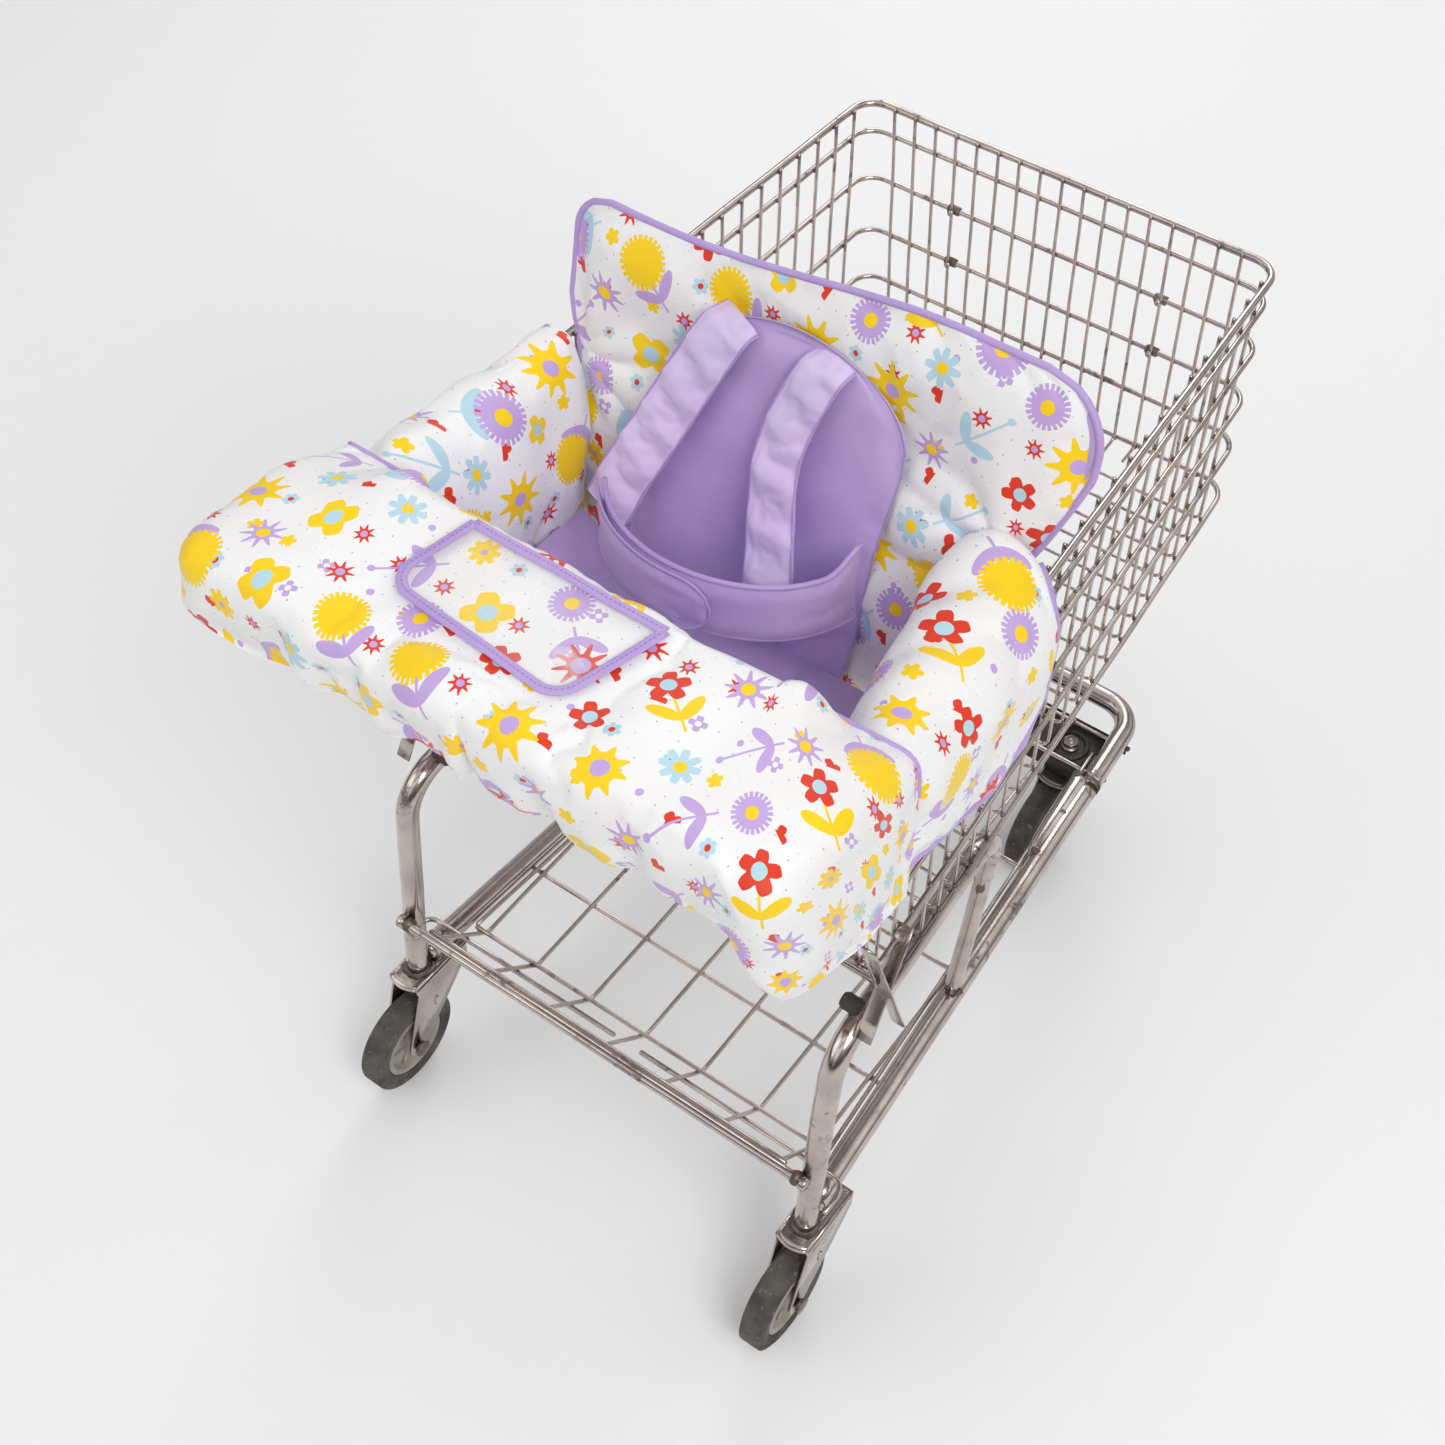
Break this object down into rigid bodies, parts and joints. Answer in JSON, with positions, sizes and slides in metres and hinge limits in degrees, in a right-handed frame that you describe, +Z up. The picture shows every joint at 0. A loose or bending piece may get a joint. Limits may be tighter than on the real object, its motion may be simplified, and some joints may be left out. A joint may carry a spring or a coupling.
{
  "type": "shopping cart with padded child-seat cover",
  "caption": "Wire-basket shopping cart with swivel casters, folding child seat and a padded printed fabric seat cover over the handle.",
  "frame": {"origin": "on the floor, under the middle of the cart's length and width", "axes": "+X forwards towards the nose of the basket, +Y to the cart's left, +Z up"},
  "size_m": [0.9807, 0.606, 1.0541],
  "materials": {
    "chrome": "worn, slightly hazed chrome plating with grime at the welds",
    "zinc_steel": "dull zinc-plated steel",
    "black_steel": "black, dusty and rubbed at the edges",
    "wheel_rubber": "dark grey-brown rubber, scuffed",
    "hub_plastic": "stone grey moulded wheel centre",
    "handle_plastic": "red handle sleeve",
    "pan_plastic": "grey moulded seat flap",
    "print_fabric": "quilted white polyester satin, printed with yellow, red, lavender and pale blue flowers",
    "lavender_fabric": "lavender polyester",
    "pale_lavender_fabric": "pale lavender polyester webbing covers",
    "clear_vinyl": "clear flexible vinyl"
  },
  "bodies": {
    "root": {"basket_cross_rod": "chrome", "basket_floor": "chrome", "basket_front": "chrome", "basket_hoop_1": "chrome", "basket_hoop_2": "chrome", "basket_hoop_3": "chrome", "basket_hoop_4": "chrome", "basket_hoop_5": "chrome", "basket_rim": "chrome", "basket_side_left": "chrome", "basket_side_right": "chrome", "bottom_rack": "chrome", "caster_channel": "black_steel", "cover_drape": "print_fabric", "cover_pocket": "clear_vinyl", "frame_tube_left": "chrome", "frame_tube_right": "chrome", "front_bow": "chrome", "gate_rod": "chrome", "handle_bar": "handle_plastic", "handle_bracket_left": "chrome", "handle_bracket_right": "chrome", "hook_wire_left": "chrome", "hook_wire_right": "chrome", "kingpin_left": "zinc_steel", "kingpin_right": "zinc_steel", "rear_axle_left": "zinc_steel", "rear_axle_right": "zinc_steel", "rear_fork_left": "chrome", "rear_fork_right": "chrome", "rear_rod": "chrome", "rear_upright_left": "chrome", "rear_upright_right": "chrome", "swivel_bearing_left": "black_steel", "swivel_bearing_right": "black_steel"},
    "rear_wheel_left": {"rear_tyre_left": "wheel_rubber", "rear_hub_left": "hub_plastic"},
    "rear_wheel_right": {"rear_tyre_right": "wheel_rubber", "rear_hub_right": "hub_plastic"},
    "caster_left": {"front_fork_left": "zinc_steel", "front_axle_left": "zinc_steel"},
    "caster_right": {"front_fork_right": "zinc_steel", "front_axle_right": "zinc_steel"},
    "front_wheel_left": {"front_tyre_left": "wheel_rubber", "front_hub_left": "hub_plastic"},
    "front_wheel_right": {"front_tyre_right": "wheel_rubber", "front_hub_right": "hub_plastic"},
    "gate": {"rear_gate": "chrome", "cover_side_left": "print_fabric", "cover_side_right": "print_fabric"},
    "child_seat_back": {"seat_back": "chrome", "cover_back": "print_fabric", "waist_belt": "lavender_fabric", "shoulder_strap_left": "pale_lavender_fabric", "shoulder_strap_right": "pale_lavender_fabric"},
    "child_seat_pan": {"seat_pan": "pan_plastic", "cover_seat": "lavender_fabric"}
  },
  "joints": [
    {"name": "rear_wheel_left_spin", "type": "hinge", "parent": "root", "child": "rear_wheel_left", "pos_m": [-0.378, 0.266, 0.0635], "axis": [0, 1, 0], "continuous": true},
    {"name": "caster_left_swivel", "type": "hinge", "parent": "root", "child": "caster_left", "pos_m": [0.377, 0.168, 0.15], "axis": [0, 0, 1], "continuous": true},
    {"name": "front_wheel_left_spin", "type": "hinge", "parent": "caster_left", "child": "front_wheel_left", "pos_m": [0.327, 0.168, 0.0635], "axis": [0, 1, 0], "continuous": true},
    {"name": "rear_wheel_right_spin", "type": "hinge", "parent": "root", "child": "rear_wheel_right", "pos_m": [-0.378, -0.266, 0.0635], "axis": [0, 1, 0], "continuous": true},
    {"name": "caster_right_swivel", "type": "hinge", "parent": "root", "child": "caster_right", "pos_m": [0.377, -0.168, 0.15], "axis": [0, 0, 1], "continuous": true},
    {"name": "front_wheel_right_spin", "type": "hinge", "parent": "caster_right", "child": "front_wheel_right", "pos_m": [0.327, -0.168, 0.0635], "axis": [0, 1, 0], "continuous": true},
    {"name": "gate_swing", "type": "hinge", "parent": "root", "child": "gate", "pos_m": [-0.364, 0, 0.869], "axis": [0, -1, 0], "range_deg": [0, 20], "deforming": ["cover_side_left", "cover_side_right"]},
    {"name": "seat_fold", "type": "hinge", "parent": "gate", "child": "child_seat_back", "pos_m": [-0.2566, 0, 0.59183], "axis": [0, -1, 0], "range_deg": [0, 20], "deforming": ["cover_side_left", "cover_side_right"]},
    {"name": "seat_pan_lift", "type": "hinge", "parent": "gate", "child": "child_seat_pan", "pos_m": [-0.27826, 0, 0.65523], "axis": [0, -1, 0], "range_deg": [0, 20]}
  ],
  "couplings": [
    {"joint": "seat_pan_lift", "follows": "seat_fold", "ratio": 1}
  ]
}
